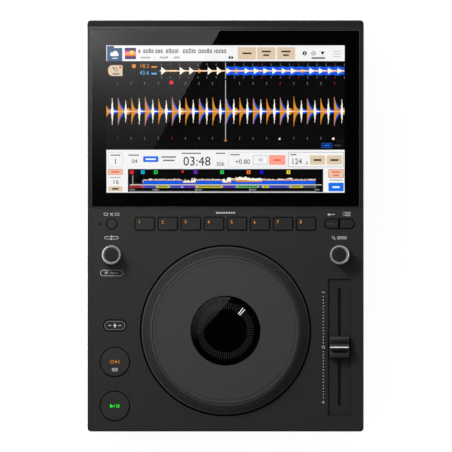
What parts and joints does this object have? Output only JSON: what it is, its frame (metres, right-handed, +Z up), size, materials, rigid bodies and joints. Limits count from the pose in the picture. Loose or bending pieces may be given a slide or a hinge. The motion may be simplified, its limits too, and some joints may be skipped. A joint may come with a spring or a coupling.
{
  "type": "tabletop media player",
  "caption": "Flat tabletop player with a tilted touch screen over a control deck: jog wheel, cue pads, transport buttons, rotary knobs, pitch fader, rear sockets.",
  "frame": {"origin": "on the table, under the middle of the case", "axes": "+X to the player's right, +Y to the back where the sockets are, +Z up"},
  "size_m": [0.252, 0.375, 0.0897],
  "materials": {
    "case_plastic": "fine moulded texture, dark grey",
    "deck_paint": "satin dark grey paint on sheet",
    "hood_plastic": "satin, dark grey",
    "cover_glass": "black edged cover glass, polished",
    "display_black": "display module, black face",
    "zinc_steel": "zinc plated sheet",
    "bay_paint": "black powder coat",
    "socket_plastic": "black moulded plastic",
    "jack_brass": "gold flashed brass",
    "socket_steel": "nickel plated shell",
    "circuit_board": "green solder mask",
    "sink_aluminium": "black anodised, finned",
    "component_plastic": "wound and potted parts",
    "switch_plastic": "black switch bodies",
    "light_pipe": "smoked light pipe",
    "bush_brass": "turned brass",
    "nut_steel": "nickel plated",
    "dish_plastic": "black structural plastic",
    "bearing_plastic": "natural acetal",
    "window_glass": "smoked clear disc, polished",
    "rim_plastic": "satin, knurled on its bevel",
    "jog_aluminium": "dark grey satin finish on aluminium",
    "pad_rubber": "matte silicone pad",
    "key_plastic": "satin button",
    "transport_plastic": "satin transport button",
    "knob_plastic": "soft touch knob",
    "shaft_steel": "turned shaft",
    "tray_plastic": "satin sunk panel",
    "cap_plastic": "satin fader cap with a white line",
    "foot_rubber": "moulded rubber foot",
    "screw_steel": "black oxide screws"
  },
  "bodies": {
    "case": {"lower_case": "case_plastic", "upper_case": "case_plastic", "deck_panel": "deck_paint", "display_hood": "hood_plastic", "screen_glass": "cover_glass", "lcd_panel": "display_black", "lcd_bracket": "zinc_steel", "rear_panel": "bay_paint", "ac_inlet": "socket_plastic", "rca_jacks": "jack_brass", "lan_jack": "socket_steel", "usb_link_port": "socket_steel", "usb_media_port": "socket_steel", "power_switch": "switch_plastic", "main_board": "circuit_board", "heat_sink": "sink_aluminium", "power_board": "circuit_board", "power_parts": "component_plastic", "key_boards": "circuit_board", "key_switches": "switch_plastic", "status_led": "light_pipe", "encoder_housings": "bush_brass", "encoder_nuts": "nut_steel", "jog_base": "dish_plastic", "jog_bearing": "bearing_plastic", "jog_display": "display_black", "jog_window": "window_glass", "jog_sensor": "switch_plastic", "fader_tray": "tray_plastic", "fader_body": "zinc_steel", "feet": "foot_rubber", "case_screws": "screw_steel", "inner_screws": "screw_steel"},
    "pad_1": {"pad_1": "pad_rubber"},
    "pad_2": {"pad_2": "pad_rubber"},
    "pad_3": {"pad_3": "pad_rubber"},
    "pad_4": {"pad_4": "pad_rubber"},
    "pad_5": {"pad_5": "pad_rubber"},
    "pad_6": {"pad_6": "pad_rubber"},
    "pad_7": {"pad_7": "pad_rubber"},
    "pad_8": {"pad_8": "pad_rubber"},
    "delete_button": {"delete_button": "key_plastic"},
    "back_button": {"back_button": "key_plastic"},
    "tag_button": {"tag_button": "key_plastic"},
    "shift_button": {"shift_button": "key_plastic"},
    "cue_button": {"cue_button": "transport_plastic"},
    "play_button": {"play_button": "transport_plastic"},
    "power_button": {"power_button": "key_plastic"},
    "jog_wheel": {"jog_rim": "rim_plastic", "jog_carrier": "dish_plastic", "jog_slit_ring": "zinc_steel"},
    "jog_touch_plate": {"jog_top_plate": "jog_aluminium"},
    "beat_push_stage": {"beat_plunger": "switch_plastic"},
    "beat_turn_stage": {"beat_shaft": "shaft_steel", "beat_knob": "knob_plastic"},
    "browse_push_stage": {"browse_plunger": "switch_plastic"},
    "browse_turn_stage": {"browse_shaft": "shaft_steel", "browse_knob": "knob_plastic"},
    "pitch_fader": {"fader_lever": "zinc_steel", "fader_cap": "cap_plastic"}
  },
  "joints": [
    {"name": "pad_1_press", "type": "slide", "parent": "case", "child": "pad_1", "axis": [0, 0, -1], "range_m": [0, 0.0009], "stiffness_N_per_m": 500, "springref_m": -0.002},
    {"name": "pad_2_press", "type": "slide", "parent": "case", "child": "pad_2", "axis": [0, 0, -1], "range_m": [0, 0.0009], "stiffness_N_per_m": 500, "springref_m": -0.002},
    {"name": "pad_3_press", "type": "slide", "parent": "case", "child": "pad_3", "axis": [0, 0, -1], "range_m": [0, 0.0009], "stiffness_N_per_m": 500, "springref_m": -0.002},
    {"name": "pad_4_press", "type": "slide", "parent": "case", "child": "pad_4", "axis": [0, 0, -1], "range_m": [0, 0.0009], "stiffness_N_per_m": 500, "springref_m": -0.002},
    {"name": "pad_5_press", "type": "slide", "parent": "case", "child": "pad_5", "axis": [0, 0, -1], "range_m": [0, 0.0009], "stiffness_N_per_m": 500, "springref_m": -0.002},
    {"name": "pad_6_press", "type": "slide", "parent": "case", "child": "pad_6", "axis": [0, 0, -1], "range_m": [0, 0.0009], "stiffness_N_per_m": 500, "springref_m": -0.002},
    {"name": "pad_7_press", "type": "slide", "parent": "case", "child": "pad_7", "axis": [0, 0, -1], "range_m": [0, 0.0009], "stiffness_N_per_m": 500, "springref_m": -0.002},
    {"name": "pad_8_press", "type": "slide", "parent": "case", "child": "pad_8", "axis": [0, 0, -1], "range_m": [0, 0.0009], "stiffness_N_per_m": 500, "springref_m": -0.002},
    {"name": "delete_press", "type": "slide", "parent": "case", "child": "delete_button", "axis": [0, 0, -1], "range_m": [0, 0.0008], "stiffness_N_per_m": 500, "springref_m": -0.002},
    {"name": "back_press", "type": "slide", "parent": "case", "child": "back_button", "axis": [0, 0, -1], "range_m": [0, 0.0008], "stiffness_N_per_m": 500, "springref_m": -0.002},
    {"name": "tag_press", "type": "slide", "parent": "case", "child": "tag_button", "axis": [0, 0, -1], "range_m": [0, 0.0008], "stiffness_N_per_m": 500, "springref_m": -0.002},
    {"name": "shift_press", "type": "slide", "parent": "case", "child": "shift_button", "axis": [0, 0, -1], "range_m": [0, 0.0008], "stiffness_N_per_m": 500, "springref_m": -0.002},
    {"name": "cue_press", "type": "slide", "parent": "case", "child": "cue_button", "axis": [0, 0, -1], "range_m": [0, 0.001], "stiffness_N_per_m": 700, "springref_m": -0.002},
    {"name": "play_press", "type": "slide", "parent": "case", "child": "play_button", "axis": [0, 0, -1], "range_m": [0, 0.001], "stiffness_N_per_m": 700, "springref_m": -0.002},
    {"name": "power_press", "type": "slide", "parent": "case", "child": "power_button", "axis": [0, -1, 0], "range_m": [0, 0.0016], "stiffness_N_per_m": 600, "springref_m": -0.002},
    {"name": "jog_spin", "type": "hinge", "parent": "case", "child": "jog_wheel", "pos_m": [0, -0.0954, 0.0625], "axis": [0, 0, 1], "continuous": true},
    {"name": "jog_touch", "type": "slide", "parent": "jog_wheel", "child": "jog_touch_plate", "axis": [0, 0, -1], "range_m": [0, 0.0004], "stiffness_N_per_m": 4000, "springref_m": -0.001},
    {"name": "beat_push", "type": "slide", "parent": "case", "child": "beat_push_stage", "axis": [0, 0, -1], "range_m": [0, 0.0006], "stiffness_N_per_m": 1000, "springref_m": -0.002},
    {"name": "beat_turn", "type": "hinge", "parent": "beat_push_stage", "child": "beat_turn_stage", "pos_m": [-0.1038, -0.0263, 0.0653], "axis": [0, 0, 1], "continuous": true},
    {"name": "browse_push", "type": "slide", "parent": "case", "child": "browse_push_stage", "axis": [0, 0, -1], "range_m": [0, 0.0006], "stiffness_N_per_m": 1000, "springref_m": -0.002},
    {"name": "browse_turn", "type": "hinge", "parent": "browse_push_stage", "child": "browse_turn_stage", "pos_m": [0.1038, -0.0263, 0.0653], "axis": [0, 0, 1], "continuous": true},
    {"name": "pitch_slide", "type": "slide", "parent": "case", "child": "pitch_fader", "axis": [0, 1, 0], "range_m": [-0.05, 0.05]}
  ]
}
